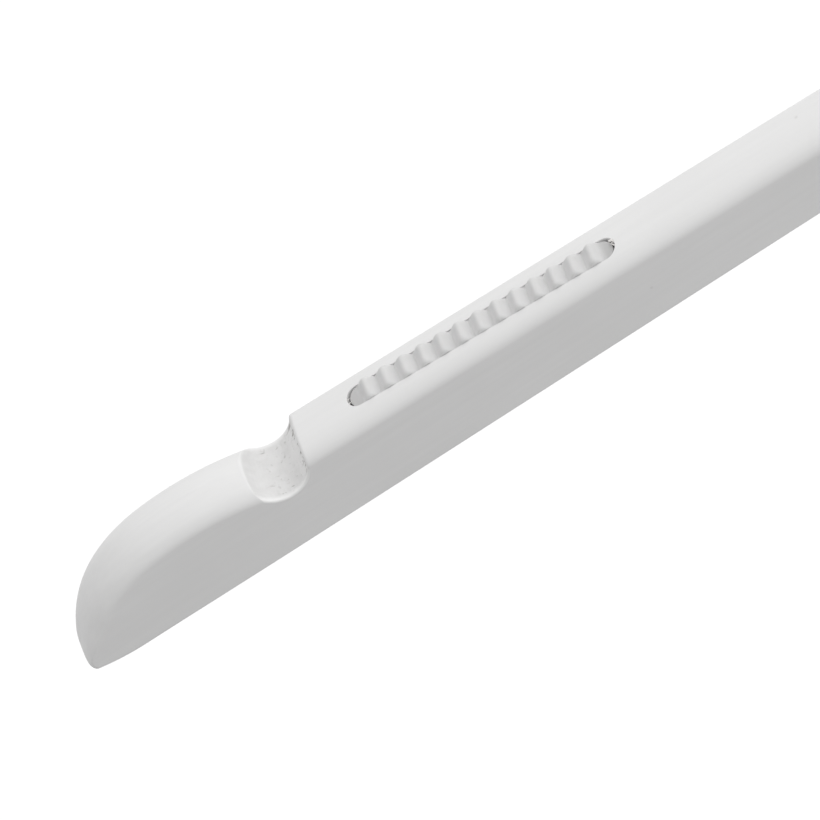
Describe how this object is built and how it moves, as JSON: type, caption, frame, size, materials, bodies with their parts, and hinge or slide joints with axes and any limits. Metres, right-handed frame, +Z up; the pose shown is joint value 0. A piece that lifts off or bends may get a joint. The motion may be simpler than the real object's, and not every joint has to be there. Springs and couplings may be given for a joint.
{
  "type": "clothes hanger",
  "caption": "White painted flat wooden clothes hanger with finger-jointed arms, ribbed anti-slip shoulder strips, strap notches and a swivelling steel wire hook.",
  "frame": {"origin": "the point inside the top of the hook that rests on the rail", "axes": "+X along the width of the hanger, +Y through the board from front to back, +Z up along the stem"},
  "size_m": [0.445, 0.012, 0.2271],
  "materials": {
    "painted_wood": "satin white paint",
    "grip_rubber": "matt milky soft rubber",
    "hook_chrome": "polished plating",
    "zinc_steel": "zinc plated"
  },
  "bodies": {
    "hook": {"hook": "hook_chrome", "hook_collar": "hook_chrome", "lock_nut": "zinc_steel"},
    "hanger": {"left_arm": "painted_wood", "right_arm": "painted_wood", "left_grip_strip": "grip_rubber", "right_grip_strip": "grip_rubber", "neck_ferrule": "hook_chrome", "hook_washer": "zinc_steel"}
  },
  "joints": [
    {"name": "hook_swivel", "type": "hinge", "parent": "hook", "child": "hanger", "pos_m": [0, 0, -0.095], "axis": [0, 0, 1], "continuous": true}
  ]
}
